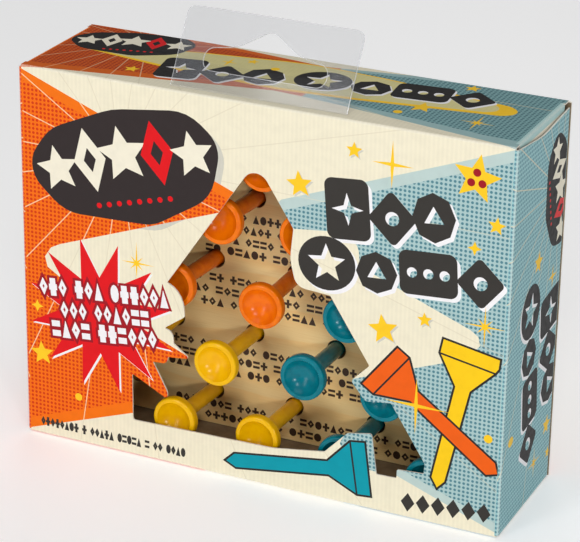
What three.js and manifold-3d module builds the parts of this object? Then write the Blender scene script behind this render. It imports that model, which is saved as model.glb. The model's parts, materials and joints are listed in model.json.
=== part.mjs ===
// Triangle peg jump game in its retail carton.
// A triangular pine board with fifteen blind holes carries fourteen golf-tee pegs.
// Board and pegs stand in a tuck-end card carton with a die-cut window and a clear hang tab.
//
// Units are millimetres. +Z is up, +X is right and the carton's front face looks along -Y.
// The origin is the middle of the carton's footprint, on the surface that it stands on.

import * as THREE from 'three';
import { mergeVertices } from 'three/addons/utils/BufferGeometryUtils.js';
import Module from 'manifold-3d';

const wasm = await Module();
wasm.setup();

// ---------------------------------------------------------------- driving dimensions

const CARTON = { width: 152, depth: 43, height: 117, card: 0.5 };

// Play left between neighbouring pieces of card, and between card and board.
const GAP = 0.3;

const BOARD = {
  face: 6.5, // y of the printed face
  thickness: 11,
  bottom: CARTON.card + GAP,
  margin: 11.5, // from the outer holes' centres to the sloping and lower sides
  cornerRadius: 6,
};

const HOLES = { rows: 5, pitch: 26.5, rise: 21.6, radius: 3, depth: 9, sides: 16 };

const PEG = {
  stand: 26, // rim of the head in front of the board's face
  sunk: 8.3, // length inside the hole
  shaftRadius: 2.4,
  headRadius: 6.9,
  rimRadius: 6.5,
  cupRadius: 5.4,
  cupDepth: 3.2,
  bandLength: 2.6,
  flareLength: 9.5,
  sides: 14,
};

const TAB = {
  centre: -1.4,
  width: 54,
  height: 23.2,
  film: 0.35,
  setback: 2.8, // crease behind the carton's front face
  stuckDepth: 22,
  lean: THREE.MathUtils.degToRad(30.5), // back from upright
  cornerRadius: 2.5,
};

const END = {
  tuckLength: 10,
  tuckLean: THREE.MathUtils.degToRad(12), // in from parallel with the back panel
  tuckInset: 3.5, // from the carton's top and bottom
  tuckCorner: 6,
  dustLength: 20,
  dustCorner: 4,
};

// Each row of pegs from the apex down, left to right. lean is how far the head
// stands off its hole's axis, sideways and up, because the holes are a loose fit.
const PEG_ROWS = [
  [{ colour: 'orange', lean: [-0.2, -1.7] }],
  [
    { colour: 'orange', lean: [0.4, 2.0] },
    { colour: 'orange', lean: [-0.5, 1.9] },
  ],
  [
    { colour: 'orange', lean: [-1.2, 1.0] },
    { colour: 'orange', lean: [0.3, -0.2] },
    { colour: 'teal', lean: [0.1, 0.9] },
  ],
  [
    { colour: 'yellow', lean: [0.3, 0.5] },
    { colour: 'yellow', lean: [-0.8, 0.3] },
    { colour: 'teal', lean: [0.5, 1.8] },
    { colour: 'teal', lean: [-1.3, 0.4] },
  ],
  [
    null, // the hole left empty for the first jump
    { colour: 'yellow', lean: [-0.9, 0.9] },
    { colour: 'yellow', lean: [-0.4, 0.9] },
    { colour: 'teal', lean: [-0.7, 0.3] },
    { colour: 'teal', lean: [0.1, -0.8] },
  ],
];

// Corners of the die-cut window, clockwise from its apex: x, height, corner radius.
// It follows the printed art, so it steps round the title, the drawn pegs and the burst.
const WINDOW = [
  [-0.4, 100.1, 4.2], // over the top peg
  [11.3, 82.2, 2],
  [10.4, 73.0, 12], // round the title's first letter
  [12.4, 64.9, 4],
  [22.9, 64.2, 0.3],
  [35.4, 45.1, 0.5], // above the drawn orange peg
  [29.9, 39.4, 1.2],
  [34.4, 33.9, 1.6],
  [42.3, 35.0, 0.6],
  [53.1, 18.4, 0.5], // lower right corner of the board
  [52.9, 15.1, 0.4],
  [44.8, 14.6, 0.4],
  [44.7, 11.8, 0.4],
  [38.5, 11.6, 0.4],
  [36.7, 24.1, 0.8], // round the drawn teal peg's head
  [29.2, 22.6, 1.8],
  [22.2, 15.1, 1.2],
  [6.0, 12.5, 20],
  [-39.9, 11.5, 0.8], // lower left corner of the board
  [-40.0, 26.7, 0.4],
  [-28.2, 20.7, 0.8], // the burst's lower ray
  [-28.4, 23.2, 3],
  [-33.1, 32.0, 0.3],
  [-28.4, 32.2, 2],
  [-28.1, 34.5, 0.2],
  [-20.9, 35.3, 0.5], // the burst's middle ray
  [-26.3, 39.2, 0.3],
  [-26.6, 43.0, 2.5],
  [-29.4, 43.5, 0.2],
  [-22.7, 48.3, 0.8], // the burst's upper ray
  [-23.3, 55.8, 8],
  [-28.3, 58.2, 0.2],
];

const HANG_HOLE = [
  [0, 19.2, 3.5],
  [9.5, 13.1, 9],
  [18.7, 11.6, 2.8],
  [18.7, 5.5, 2.8],
  [-18.7, 5.5, 2.8],
  [-18.7, 11.6, 2.8],
  [-9.5, 13.1, 9],
];

// ---------------------------------------------------------------- materials

function finish(color, roughness, metalness = 0) {
  return new THREE.MeshStandardMaterial({ color, roughness, metalness });
}

const FINISH = {
  card: finish('#eee6c8', 0.45),
  pine: finish('#d9b27a', 0.6),
  orange: finish('#f58a12', 0.25),
  yellow: finish('#f0cb10', 0.25),
  teal: finish('#0a8a98', 0.25),
};
const FILM = finish('#e8eef0', 0.1);
FILM.transparent = true;
FILM.opacity = 0.3;

// ---------------------------------------------------------------- shape helpers

const ARC_STEP = THREE.MathUtils.degToRad(24);

// Points of a closed outline whose corners, given as x, y, radius, are rounded by arcs.
function roundedOutline(corners) {
  const points = [];
  corners.forEach(([x, y, radius], index) => {
    const corner = new THREE.Vector2(x, y);
    const before = corners[(index + corners.length - 1) % corners.length];
    const after = corners[(index + 1) % corners.length];
    const back = new THREE.Vector2(before[0], before[1]).sub(corner).normalize();
    const ahead = new THREE.Vector2(after[0], after[1]).sub(corner).normalize();
    const half = Math.acos(THREE.MathUtils.clamp(back.dot(ahead), -1, 1)) / 2;
    if (radius === 0) {
      points.push(corner);
      return;
    }
    const middle = back.clone().add(ahead).normalize();
    const centre = corner.clone().addScaledVector(middle, radius / Math.sin(half));
    const start = corner.clone().addScaledVector(back, radius / Math.tan(half));
    const turn = Math.PI - 2 * half;
    const side = Math.sign(back.cross(ahead));
    const steps = Math.max(2, Math.ceil(turn / ARC_STEP));
    for (let step = 0; step <= steps; step += 1) {
      const angle = (-side * turn * step) / steps;
      points.push(start.clone().rotateAround(centre, angle));
    }
  });
  return points;
}

function rectangle(x0, y0, x1, y1) {
  return [[x0, y0, 0], [x1, y0, 0], [x1, y1, 0], [x0, y1, 0]];
}

// A flat sheet in its own XY plane, from z = 0 to its thickness.
function sheet(corners, thickness, holes = []) {
  const shape = new THREE.Shape(roundedOutline(corners));
  for (const hole of holes) {
    shape.holes.push(new THREE.Path(roundedOutline(hole)));
  }
  return new THREE.ExtrudeGeometry(shape, { depth: thickness, bevelEnabled: false });
}

// Turns that stand a flat sheet up: facing the front, or facing an end of the carton.
const FACING_FRONT = new THREE.Euler(Math.PI / 2, 0, 0);
const FACING_END = new THREE.Euler(Math.PI / 2, 0, Math.PI / 2, 'ZYX');

const game = new THREE.Group();

function add(name, geometry, material, parent = game) {
  const mesh = new THREE.Mesh(geometry, material);
  mesh.name = name;
  parent.add(mesh);
  return mesh;
}

function toSolid(geometry) {
  const bare = geometry.clone();
  bare.deleteAttribute('normal');
  bare.deleteAttribute('uv');
  const merged = mergeVertices(bare);
  return new wasm.Manifold(new wasm.Mesh({
    numProp: 3,
    vertProperties: new Float32Array(merged.attributes.position.array),
    triVerts: new Uint32Array(merged.index.array),
  }));
}

function toGeometry(solid) {
  const mesh = solid.getMesh();
  const geometry = new THREE.BufferGeometry();
  geometry.setAttribute('position', new THREE.BufferAttribute(mesh.vertProperties, 3));
  geometry.setIndex(new THREE.BufferAttribute(mesh.triVerts, 1));
  return geometry;
}

// ---------------------------------------------------------------- carton tube

const halfWidth = CARTON.width / 2;
const halfDepth = CARTON.depth / 2;
const card = CARTON.card;

// The top and bottom panels stop short of the ends, where their dust flaps fold in.
const panelReach = halfWidth - card - GAP;
const panelDepth = CARTON.depth - 2 * (card + GAP);

function addCartonTube() {
  const face = rectangle(-halfWidth, 0, halfWidth, CARTON.height);
  const lid = rectangle(-panelReach, -panelDepth / 2, panelReach, panelDepth / 2);

  const front = add('front_panel', sheet(face, card, [WINDOW]), FINISH.card);
  front.rotation.copy(FACING_FRONT);
  front.position.y = -halfDepth + card;

  const back = add('back_panel', sheet(face, card), FINISH.card);
  back.rotation.copy(FACING_FRONT);
  back.position.y = halfDepth;

  const top = add('top_panel', sheet(lid, card), FINISH.card);
  top.position.z = CARTON.height - card;

  add('bottom_panel', sheet(lid, card), FINISH.card);
}

// The seam that closes the tube: a strip glued up the inside of the back panel.
function addGlueFlap() {
  const reach = 61;
  const height = 15;
  const taper = 5;
  const strip = [
    [-reach, card + GAP, 0],
    [reach, card + GAP, 0],
    [reach - taper, height, 0],
    [-reach + taper, height, 0],
  ];
  const flap = add('glue_flap', sheet(strip, card), FINISH.card);
  flap.rotation.copy(FACING_FRONT);
  flap.position.y = halfDepth - card - 0.1;
}

// ---------------------------------------------------------------- tuck ends

// The crease at the front edge of an end panel, and the one it shares with its tuck flap.
const endCrease = { x: halfWidth - card / 2, y: -halfDepth + card / 2 };
const tuckCreaseY = halfDepth - 1.1;

function addEndPanel(side, name) {
  const nearCrease = endCrease.y + card / 2 + GAP;
  const farCrease = tuckCreaseY - GAP;
  const foot = card + GAP;
  const sag = 5.5; // height of the rounding that bows the top edge down
  const panel = [
    [nearCrease, foot, 0],
    [farCrease, foot, 0],
    [farCrease, CARTON.height - 1.6, 0],
    [2, CARTON.height - 3.1, sag * 8],
    [nearCrease, CARTON.height - 0.6, 0],
  ];
  const end = add(`${name}_end_panel`, sheet(panel, card), FINISH.card);
  end.rotation.copy(FACING_END);
  end.position.x = side > 0 ? halfWidth - card : -halfWidth;
}

function addTuckFlap(side, name) {
  const start = 0.5; // clear of the crease
  const low = END.tuckInset;
  const high = CARTON.height - END.tuckInset;
  const flap = [
    [start, low, 0],
    [END.tuckLength, low + 1, END.tuckCorner],
    [END.tuckLength, high - 1, END.tuckCorner],
    [start, high, 0],
  ];
  const crease = new THREE.Group();
  crease.position.set(side * endCrease.x, tuckCreaseY, 0);
  crease.rotation.z = side > 0 ? Math.PI + END.tuckLean : -END.tuckLean;
  game.add(crease);
  const tuck = add(`${name}_tuck_flap`, sheet(flap, card), FINISH.card, crease);
  tuck.rotation.copy(FACING_FRONT);
  tuck.position.y = card / 2;
}

// A dust flap is wide at its crease and narrow at its tip, so that it swings clear.
function addDustFlap(side, level, name) {
  const root = card + GAP;
  const tip = root + END.dustLength;
  const outline = [
    [-halfDepth + 3, root, 0],
    [halfDepth - 3.5, root, 0],
    [halfDepth - 7, tip, END.dustCorner],
    [-halfDepth + 8, tip, END.dustCorner],
  ];
  const placed = outline.map(([y, z, radius]) => [y, level > 0 ? CARTON.height - z : z, radius]);
  const flap = add(`${name}_dust_flap`, sheet(placed, card), FINISH.card);
  flap.rotation.copy(FACING_END);
  flap.position.x = side > 0 ? panelReach - card : -panelReach;
}

function addEnd(side, name) {
  addEndPanel(side, name);
  addTuckFlap(side, name);
  addDustFlap(side, 1, `${name}_top`);
  addDustFlap(side, -1, `${name}_bottom`);
}

// ---------------------------------------------------------------- hang tab

const filmRest = 0.05; // the adhesive between film and card

function addHangTab() {
  const half = TAB.width / 2;
  const crease = -halfDepth + TAB.setback;

  const stuck = rectangle(-half, 0.4, half, TAB.stuckDepth);
  const base = add('hang_tab_base', sheet(stuck, TAB.film), FILM);
  base.position.set(TAB.centre, crease, CARTON.height + filmRest);

  const flapOutline = [
    [-half, 0.4, 0],
    [half, 0.4, 0],
    [half, TAB.height, TAB.cornerRadius],
    [-half, TAB.height, TAB.cornerRadius],
  ];
  const hinge = new THREE.Group();
  hinge.position.set(TAB.centre, crease, CARTON.height + filmRest + TAB.film + 0.2);
  hinge.rotation.x = -TAB.lean;
  game.add(hinge);
  const flap = add('hang_tab_flap', sheet(flapOutline, TAB.film, [HANG_HOLE]), FILM, hinge);
  flap.rotation.copy(FACING_FRONT);
  flap.position.y = TAB.film / 2;
}

// ---------------------------------------------------------------- board and pegs

const lowestRow = BOARD.bottom + BOARD.margin;

// Centre of a hole: row 0 is the apex, and index counts from the left.
function holeCentre(row, index) {
  return {
    x: (index - row / 2) * HOLES.pitch,
    z: lowestRow + (HOLES.rows - 1 - row) * HOLES.rise,
  };
}

// The triangle whose sides run a margin outside the outer holes.
function boardOutline() {
  const span = HOLES.rows - 1;
  const slope = Math.atan2(span * HOLES.rise, (span * HOLES.pitch) / 2);
  const baseReach = BOARD.margin / Math.tan(slope / 2);
  const apexReach = BOARD.margin / Math.cos(slope);
  const base = (span * HOLES.pitch) / 2 + baseReach;
  const apex = lowestRow + span * HOLES.rise + apexReach;
  return [
    [-base, BOARD.bottom, BOARD.cornerRadius],
    [base, BOARD.bottom, BOARD.cornerRadius],
    [0, apex, BOARD.cornerRadius],
  ];
}

function addBoard() {
  const blank = sheet(boardOutline(), BOARD.thickness);
  blank.rotateX(Math.PI / 2);
  blank.translate(0, BOARD.face + BOARD.thickness, 0);
  const past = 1; // how far each drill starts in front of the face
  const drill = new THREE.CylinderGeometry(
    HOLES.radius, HOLES.radius, HOLES.depth + past, HOLES.sides,
  );
  const drillY = BOARD.face + (HOLES.depth - past) / 2;
  let solid = toSolid(blank);
  for (let row = 0; row < HOLES.rows; row += 1) {
    for (let index = 0; index <= row; index += 1) {
      const { x, z } = holeCentre(row, index);
      solid = solid.subtract(toSolid(drill.clone().translate(x, drillY, z)));
    }
  }
  add('play_board', toGeometry(solid), FINISH.pine);
}

// Half section of a peg along its axis: radius, distance from the rim towards the tip.
function pegProfile() {
  const cup = 4;
  const points = [];
  for (let step = 0; step <= cup; step += 1) {
    const angle = (step / cup) * (Math.PI / 2);
    points.push(new THREE.Vector2(
      PEG.cupRadius * Math.sin(angle),
      PEG.cupDepth * Math.cos(angle),
    ));
  }
  const length = PEG.stand + PEG.sunk;
  points.push(
    new THREE.Vector2(PEG.rimRadius, 0),
    new THREE.Vector2(PEG.headRadius, 0.9),
    new THREE.Vector2(PEG.headRadius, PEG.bandLength),
    new THREE.Vector2(4.6, 4.9),
    new THREE.Vector2(3.1, 7.3),
    new THREE.Vector2(PEG.shaftRadius, PEG.flareLength),
    new THREE.Vector2(PEG.shaftRadius, length - 1.2),
    new THREE.Vector2(PEG.shaftRadius * 0.6, length),
    new THREE.Vector2(0, length),
  );
  return points;
}

// A peg pivots about the middle of its hole's depth, and its head leans off the axis.
function addPegs() {
  const geometry = new THREE.LatheGeometry(pegProfile(), PEG.sides);
  const pivotDepth = HOLES.depth / 2;
  const arm = PEG.stand + pivotDepth;
  const count = { orange: 0, yellow: 0, teal: 0 };
  PEG_ROWS.forEach((pegs, row) => pegs.forEach((peg, index) => {
    if (peg === null) {
      return;
    }
    const { x, z } = holeCentre(row, index);
    const pivot = new THREE.Group();
    pivot.position.set(x, BOARD.face + pivotDepth, z);
    const towardsHead = new THREE.Vector3(peg.lean[0], -arm, peg.lean[1]).normalize();
    pivot.quaternion.setFromUnitVectors(new THREE.Vector3(0, -1, 0), towardsHead);
    game.add(pivot);
    count[peg.colour] += 1;
    const name = `${peg.colour}_peg_${count[peg.colour]}`;
    add(name, geometry, FINISH[peg.colour], pivot).position.y = -arm;
  }));
}

// ---------------------------------------------------------------- assembly

addCartonTube();
addGlueFlap();
addEnd(1, 'right');
addEnd(-1, 'left');
addHangTab();
addBoard();
addPegs();

export default game;
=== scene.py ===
"""Looks of a triangle peg jump game in its window carton.

Lengths are millimetres until a mesh is made, in the frame's own axes: +X right, the carton's
front looks along -Y, +Z up, and the origin is the middle of the carton's footprint.
Each piece of card is a flat printed blank, cut into triangles along its art and then folded.
"""
import json
import math
import random

import bpy
import numpy as np
from mathutils import Matrix, Vector
from mathutils.geometry import delaunay_2d_cdt


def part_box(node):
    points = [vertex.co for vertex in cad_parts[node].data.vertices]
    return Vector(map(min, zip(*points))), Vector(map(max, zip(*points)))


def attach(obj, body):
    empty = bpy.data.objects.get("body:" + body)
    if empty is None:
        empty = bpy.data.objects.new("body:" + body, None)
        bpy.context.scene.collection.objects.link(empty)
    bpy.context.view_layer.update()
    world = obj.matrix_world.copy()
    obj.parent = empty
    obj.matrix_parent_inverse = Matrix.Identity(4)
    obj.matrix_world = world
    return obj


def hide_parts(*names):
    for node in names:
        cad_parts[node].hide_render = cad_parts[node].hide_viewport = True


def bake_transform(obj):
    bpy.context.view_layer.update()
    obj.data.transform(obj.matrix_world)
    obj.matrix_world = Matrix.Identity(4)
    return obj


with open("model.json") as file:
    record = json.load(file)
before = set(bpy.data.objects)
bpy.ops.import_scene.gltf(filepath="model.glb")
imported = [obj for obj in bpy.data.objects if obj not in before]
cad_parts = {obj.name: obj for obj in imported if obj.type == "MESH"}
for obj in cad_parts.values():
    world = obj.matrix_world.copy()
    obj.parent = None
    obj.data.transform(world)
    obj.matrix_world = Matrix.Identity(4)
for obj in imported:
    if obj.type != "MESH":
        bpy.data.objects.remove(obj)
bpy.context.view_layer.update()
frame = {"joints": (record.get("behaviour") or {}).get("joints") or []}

MM = 0.001

# ---------------- sizes


def box_of(node):
    """A node's lowest and highest corners, in millimetres."""
    return [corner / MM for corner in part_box(node)]


BACK_LOW, BACK_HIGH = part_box("back_panel")
WIDTH = (BACK_HIGH.x - BACK_LOW.x) / MM
HALF = WIDTH / 2
HEIGHT = round((BACK_HIGH.z - BACK_LOW.z) / MM, 3)
FRONT = box_of("front_panel")[0].y
BACK = box_of("back_panel")[1].y
CARD = 0.5
CREASE = 0.8          # outer radius of a folded crease
STUB = 1.1            # card between an end's crease and the seam with the sleeve
LID_END = HALF - CARD - 0.3
END_DROP, END_DIP, END_DIP_RADIUS = 1.2, 2.7, 44
TOP_NOTCH, NOTCH_DEPTH = (3.0, 39.5), 1.2
TUCK_CREASE, TUCK_LENGTH, TUCK_LEAN = 20.71, 10.3, math.radians(12)

FILM, FILM_BEND = 0.35, 0.45
TAB_HEIGHT, TAB_LEAN, TAB_CORNER = 23.2, math.radians(30.5), 2.5
TAB_HINGE_AHEAD, TAB_HINGE_UP = 0.4, 0.2
RIM = 0.17            # width of the bright line that light makes in the film's cut edges

BOARD_LOW, BOARD_HIGH = box_of("play_board")
HOLE_PITCH, HOLE_RISE, HOLE_MARGIN = 26.5, 21.6, 11.5
HOLE_RADIUS, HOLE_DEPTH = 3.0, 9.0
BOARD_CORNER = 6.0
PEG_STAND, PEG_SUNK = 26.0, 8.3

# Names of the pegs' colours from the apex down, left to right, with the hole left empty.
PEG_ROWS = [
    ["orange"],
    ["orange", "orange"],
    ["orange", "orange", "teal"],
    ["yellow", "yellow", "teal", "teal"],
    [None, "yellow", "yellow", "teal", "teal"],
]

# Corners of the die-cut window, clockwise from its apex: x, height, corner radius.
WINDOW = [
    (-0.4, 100.1, 4.2), (11.3, 82.2, 2), (10.4, 73.0, 12), (12.4, 64.9, 4), (22.9, 64.2, 0.3),
    (35.4, 45.1, 0.5), (29.9, 39.4, 1.2), (34.4, 33.9, 1.6), (42.3, 35.0, 0.6),
    (53.1, 18.4, 0.5), (52.9, 15.1, 0.4), (44.8, 14.6, 0.4), (44.7, 11.8, 0.4),
    (38.5, 11.6, 0.4), (36.7, 24.1, 0.8), (29.2, 22.6, 1.8), (22.2, 15.1, 1.2),
    (6.0, 12.5, 20), (-39.9, 11.5, 0.8), (-40.0, 26.7, 0.4), (-28.2, 20.7, 0.8),
    (-28.4, 23.2, 3), (-33.1, 32.0, 0.3), (-28.4, 32.2, 2), (-28.1, 34.5, 0.2),
    (-20.9, 35.3, 0.5), (-26.3, 39.2, 0.3), (-26.6, 43.0, 2.5), (-29.4, 43.5, 0.2),
    (-22.7, 48.3, 0.8), (-23.3, 55.8, 8), (-28.3, 58.2, 0.2),
]

HANG_HOLE = [
    (0, 19.2, 3.5), (9.5, 13.1, 9), (18.7, 11.6, 2.8), (18.7, 5.5, 2.8),
    (-18.7, 5.5, 2.8), (-18.7, 11.6, 2.8), (-9.5, 13.1, 9),
]

# ---------------- flat shapes

ARC_STEP = math.radians(12)


def pairs(loop):
    """Each item of a closed loop with the next one."""
    return zip(loop, loop[1:] + loop[:1])


def rounded(corners):
    """A closed outline whose corners, given as x, y, radius, are rounded by arcs."""
    outline = []
    for number, (x, y, radius) in enumerate(corners):
        corner = Vector((x, y))
        back = (Vector(corners[number - 1][:2]) - corner).normalized()
        ahead = (Vector(corners[(number + 1) % len(corners)][:2]) - corner).normalized()
        if radius == 0:
            outline.append(corner)
            continue
        half = math.acos(max(-1, min(1, back.dot(ahead)))) / 2
        centre = corner + (back + ahead).normalized() * (radius / math.sin(half))
        arm = corner + back * (radius / math.tan(half)) - centre
        turn = math.pi - 2 * half
        side = math.copysign(1, back.cross(ahead))
        steps = max(2, math.ceil(turn / ARC_STEP))
        for step in range(steps + 1):
            outline.append(centre + Matrix.Rotation(-side * turn * step / steps, 2) @ arm)
    return outline


def star(x, y, outer, inner, points, turn=90.0, stretch=(1, 1)):
    """A star with its first tip at the angle turn, in degrees."""
    outline = []
    for step in range(2 * points):
        angle = math.radians(turn + 180 * step / points)
        reach = inner if step % 2 else outer
        outline.append(Vector((
            x + reach * math.cos(angle) * stretch[0],
            y + reach * math.sin(angle) * stretch[1],
        )))
    return outline


def sparkle(x, y, right, up, left, down, waist=0.75, diagonal=0.0):
    """A thin star whose four arms have their own lengths, with shorter arms between them."""
    outline = []
    arms = (right, up, left, down)
    for step in range(16 if diagonal else 8):
        turn = math.radians(step * (22.5 if diagonal else 45))
        if diagonal:
            reach = (arms[step // 4], waist, diagonal, waist)[step % 4]
        else:
            reach = waist if step % 2 else arms[step // 2]
        outline.append(Vector((x + reach * math.cos(turn), y + reach * math.sin(turn))))
    return outline


def disc(x, y, radius, tall=1.0, sides=28):
    return star(x, y, radius, radius, sides // 2, 0, (1, tall))


def tile(x, y, width, height, radius):
    return rounded([
        (x - width / 2, y - height / 2, radius), (x + width / 2, y - height / 2, radius),
        (x + width / 2, y + height / 2, radius), (x - width / 2, y + height / 2, radius),
    ])


def box(x0, y0, x1, y1):
    return [Vector((x0, y0)), Vector((x1, y0)), Vector((x1, y1)), Vector((x0, y1))]


def plain(*points):
    return [Vector(point) for point in points]


def lozenge(x, y, half, rise):
    return plain((x - half, y), (x, y - rise), (x + half, y), (x, y + rise))


def stroke(x0, y0, x1, y1, width):
    """A straight line of some width."""
    start, end = Vector((x0, y0)), Vector((x1, y1))
    across = (end - start).orthogonal().normalized() * (width / 2)
    return [start - across, end - across, end + across, start + across]


def moved(outline, x, y):
    return [point + Vector((x, y)) for point in outline]


def turned(outline, x, y, degrees, scale=1.0):
    """The outline turned and scaled about the point x, y."""
    centre = Vector((x, y))
    spin = Matrix.Rotation(math.radians(degrees), 2)
    return [centre + (spin @ (point - centre)) * scale for point in outline]


def grown(outline, by):
    """The outline with each side moved out by a distance, or in where it is negative."""
    area = sum(a.x * b.y - b.x * a.y for a, b in pairs(outline))
    by = math.copysign(1, area) * by
    result = []
    for number, point in enumerate(outline):
        ahead = (outline[(number + 1) % len(outline)] - point).normalized()
        behind = (point - outline[number - 1]).normalized()
        normal = Vector((behind.y + ahead.y, -behind.x - ahead.x)).normalized()
        share = max(0.4, normal.dot(Vector((ahead.y, -ahead.x))))
        result.append(point + normal * (by / share))
    return result


# ---------------- cutting and folding

PRINT_UV, RAY_UV, FOLD_WEAR_AND_HIGHLIGHT = "print", "rays", "fold_wear_and_highlight"


def layer(ink_name, outline, holes=()):
    return {"ink": ink_name, "outline": outline, "holes": list(holes)}


def field(ink_name, *points):
    return layer(ink_name, plain(*points))


def covered(outline, spots):
    """Which of the spots lie inside a closed outline."""
    inside = np.zeros(len(spots), bool)
    x, y = spots[:, 0], spots[:, 1]
    for a, b in pairs(outline):
        if a.y != b.y:
            beside = x < a.x + (y - a.y) * ((b.x - a.x) / (b.y - a.y))
            inside ^= ((y < a.y) != (y < b.y)) & beside
    return inside


def cut_flat(sheet, layers, guides=()):
    """Points of a flat sheet, and its triangles with the ink that lies on top in each."""
    points, edges = [], []
    stack = [sheet, *layers]
    for item in stack:
        for loop in (item["outline"], *item["holes"]):
            first, count = len(points), len(loop)
            edges += [(first + step, first + (step + 1) % count) for step in range(count)]
            points += loop
    for start, end in guides:
        edges.append((len(points), len(points) + 1))
        points += [Vector(start), Vector(end)]
    whole_hull, tolerance = 0, 1e-4
    found = delaunay_2d_cdt(points, edges, [], whole_hull, tolerance, False)
    flat, triangles = found[0], found[2]
    place = np.array(flat)
    spots = place[np.array(triangles)].mean(axis=1)
    top = np.full(len(triangles), -1)
    for number, item in enumerate(stack):
        low, high = np.min(item["outline"], axis=0), np.max(item["outline"], axis=0)
        near = np.flatnonzero(((spots >= low) & (spots <= high)).all(axis=1))
        inside = covered(item["outline"], spots[near])
        for hole in item["holes"]:
            inside &= ~covered(hole, spots[near])
        if number:
            inside &= top[near] >= 0
        top[near[inside]] = number
    kept = [
        (tuple(corners), stack[number]["ink"])
        for corners, number in zip(triangles, top) if number >= 0
    ]
    return flat, kept


def open_sides(faces):
    """The sides that only one face has, each with the number of that face."""
    sides = {}
    for number, face in enumerate(faces):
        for start, end in pairs(face):
            if (end, start) in sides:
                del sides[(end, start)]
            else:
                sides[(start, end)] = number
    return sides


def linked(name, data):
    """A new object of the scene."""
    made = bpy.data.objects.new(name, data)
    bpy.context.scene.collection.objects.link(made)
    return made


def built(name, points, faces, inks, palette):
    """A new object, with the ink of each face taken from a palette of materials."""
    mesh = bpy.data.meshes.new(name)
    mesh.from_pydata(points, [], faces)
    slots = sorted(set(inks))
    for ink_name in slots:
        mesh.materials.append(palette[ink_name])
    mesh.polygons.foreach_set("material_index", [slots.index(ink_name) for ink_name in inks])
    mesh.polygons.foreach_set("use_smooth", [True] * len(faces))
    return linked(name, mesh)


class Run:
    """The outer face of a strip of card that runs straight from corner to corner.

    Corners are points of a plane. start is the distance along the strip at the first one, and
    side is 1 where the printed face lies on the left of the run and -1 where it is on the right.
    """

    def __init__(self, corners, start, side, radius=CREASE):
        self.corners = [Vector(corner) for corner in corners]
        self.side, self.radius = side, radius
        self.stops = [start]
        for before, after in zip(self.corners, self.corners[1:]):
            self.stops.append(self.stops[-1] + (after - before).length)

    def direction(self, leg):
        return (self.corners[leg + 1] - self.corners[leg]).normalized()

    def outward(self, direction):
        return Vector((-direction.y, direction.x)) * self.side

    def bends(self):
        """For each crease: its number, its place along the strip, its turn and half its length."""
        for number in range(1, len(self.corners) - 1):
            before, after = self.direction(number - 1), self.direction(number)
            turn = math.atan2(before.cross(after), before.dot(after))
            yield number, self.stops[number], turn, self.radius * math.tan(abs(turn) / 2)

    def guides(self):
        """Places along the strip where it needs a line of points to bend smoothly."""
        shares = (-1, -0.5, 0, 0.5, 1)
        return [at + half * share for _, at, _, half in self.bends() for share in shares]

    def at(self, place):
        """The point, the outward normal and how far into a crease the place is, from 0 to 1."""
        for number, stop, turn, half in self.bends():
            share = (place - stop + half) / (2 * half)
            if -1e-6 < share < 1 + 1e-6:
                start = self.corners[number] - self.direction(number - 1) * half
                normal = self.outward(self.direction(number - 1))
                centre = start - normal * self.radius
                normal = Matrix.Rotation(turn * share, 2) @ normal
                return centre + normal * self.radius, normal, math.sin(math.pi * share)
        leg = 0
        while leg < len(self.corners) - 2 and place > self.stops[leg + 1]:
            leg += 1
        direction = self.direction(leg)
        point = self.corners[leg] + direction * (place - self.stops[leg])
        return point, self.outward(direction), 0.0


X, Y, Z = 0, 1, 2


def along(axis, place, across, over):
    """The point at a place along an axis, given the other two of its coordinates in order."""
    point = [across, over]
    point.insert(axis, place)
    return Vector(point)


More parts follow.
